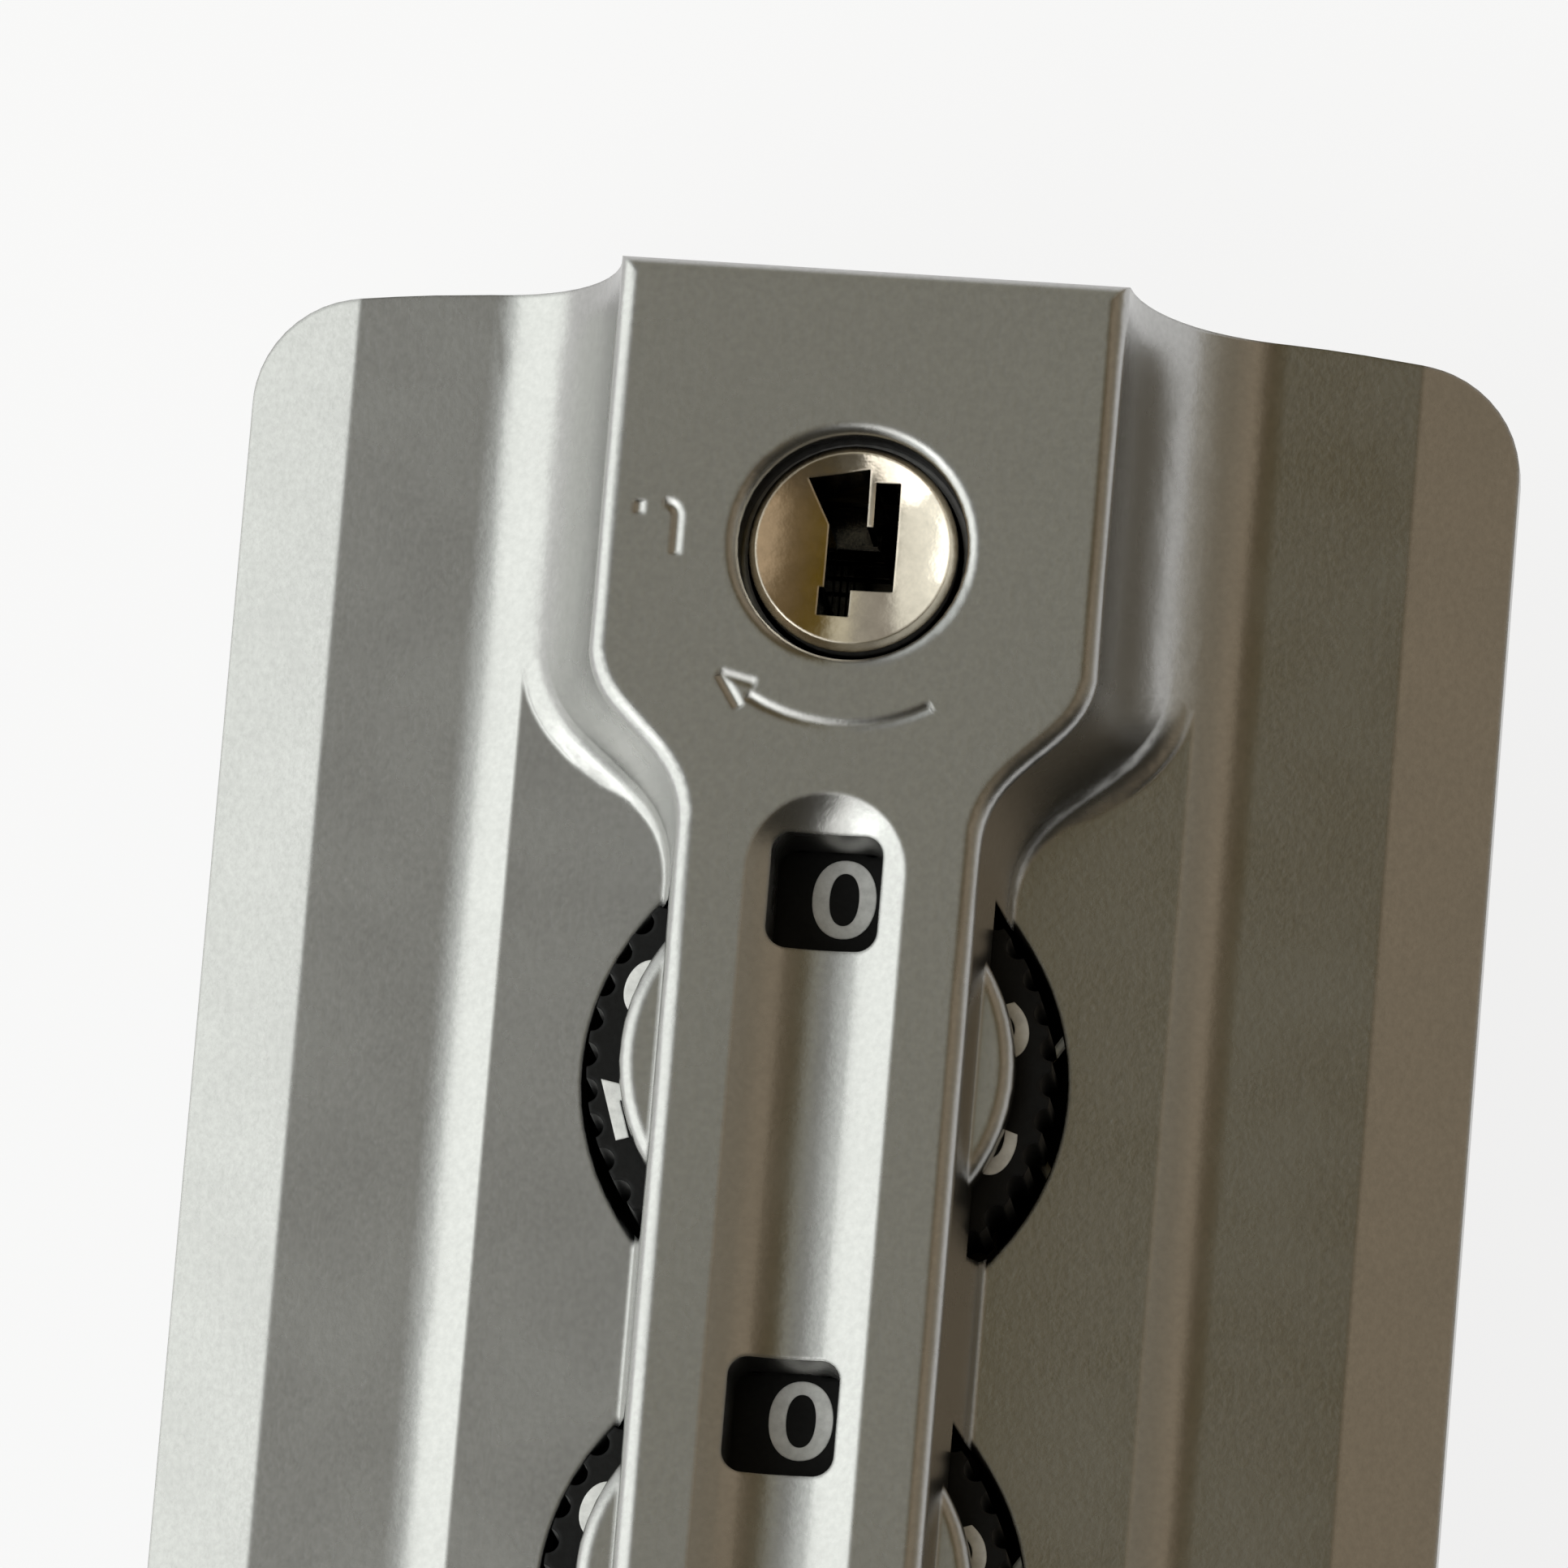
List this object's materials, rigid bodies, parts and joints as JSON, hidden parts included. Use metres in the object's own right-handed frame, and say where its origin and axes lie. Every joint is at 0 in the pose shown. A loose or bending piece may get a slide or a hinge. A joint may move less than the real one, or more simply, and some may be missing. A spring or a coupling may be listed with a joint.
{
  "type": "combination travel lock",
  "caption": "Luggage lock for panel mounting, with a silver cover, a row of number dials under a windowed rib, a key cylinder, a release slide and zip pull sockets.",
  "frame": {"origin": "middle of the flat back of the rear case", "axes": "+Z out of the face, +Y along the lock towards the key cylinder, +X across to the side with the zip sockets"},
  "size_m": [0.041, 0.096, 0.0209],
  "materials": {
    "cover_paint": "satin silver paint on die-cast zinc",
    "dial_black": "black moulded plastic",
    "case_black": "black moulded plastic",
    "button_black": "black moulded plastic",
    "plug_nickel": "polished nickel plate",
    "cylinder_zinc": "bare die-cast zinc",
    "brass": "stamped brass",
    "steel": "zinc plated steel"
  },
  "bodies": {
    "housing": {"front_cover": "cover_paint", "rear_case": "case_black", "case_screws": "steel", "detent_spring": "steel", "cylinder_body": "cylinder_zinc", "cylinder_clip": "steel", "release_spring": "steel", "reset_spring": "steel", "dial_axle_1": "steel", "dial_axle_2": "steel", "dial_axle_3": "steel", "spring_washer_1": "steel", "spring_washer_2": "steel", "spring_washer_3": "steel"},
    "dial_1": {"number_dial_1": "dial_black", "code_cam_1": "brass"},
    "dial_2": {"number_dial_2": "dial_black", "code_cam_2": "brass"},
    "dial_3": {"number_dial_3": "dial_black", "code_cam_3": "brass"},
    "plug": {"key_plug": "plug_nickel", "wafers": "brass", "plug_cam": "steel", "cam_screw": "steel"},
    "release": {"release_button": "button_black", "lock_bar": "steel", "button_screw": "steel", "zip_pin_1": "steel", "zip_pin_2": "steel"},
    "reset": {"reset_button": "button_black"}
  },
  "joints": [
    {"name": "dial_1_turn", "type": "hinge", "parent": "housing", "child": "dial_1", "pos_m": [0, 0.0227, 0], "axis": [0, 0, 1], "continuous": true},
    {"name": "dial_2_turn", "type": "hinge", "parent": "housing", "child": "dial_2", "pos_m": [0, 0.00585, 0], "axis": [0, 0, 1], "continuous": true},
    {"name": "dial_3_turn", "type": "hinge", "parent": "housing", "child": "dial_3", "pos_m": [0, -0.011, 0], "axis": [0, 0, 1], "continuous": true},
    {"name": "key_turn", "type": "hinge", "parent": "housing", "child": "plug", "pos_m": [0, 0.03896, 0], "axis": [0, 0, 1], "range_deg": [-90, 0]},
    {"name": "release_slide", "type": "slide", "parent": "housing", "child": "release", "axis": [0, 1, 0], "range_m": [0, 0.0036], "stiffness_N_per_m": 400, "springref_m": -0.004, "deforming": ["release_spring"]},
    {"name": "reset_press", "type": "slide", "parent": "housing", "child": "reset", "axis": [0, 0, 1], "range_m": [0, 0.0012], "stiffness_N_per_m": 400, "springref_m": -0.003, "deforming": ["reset_spring"]}
  ]
}
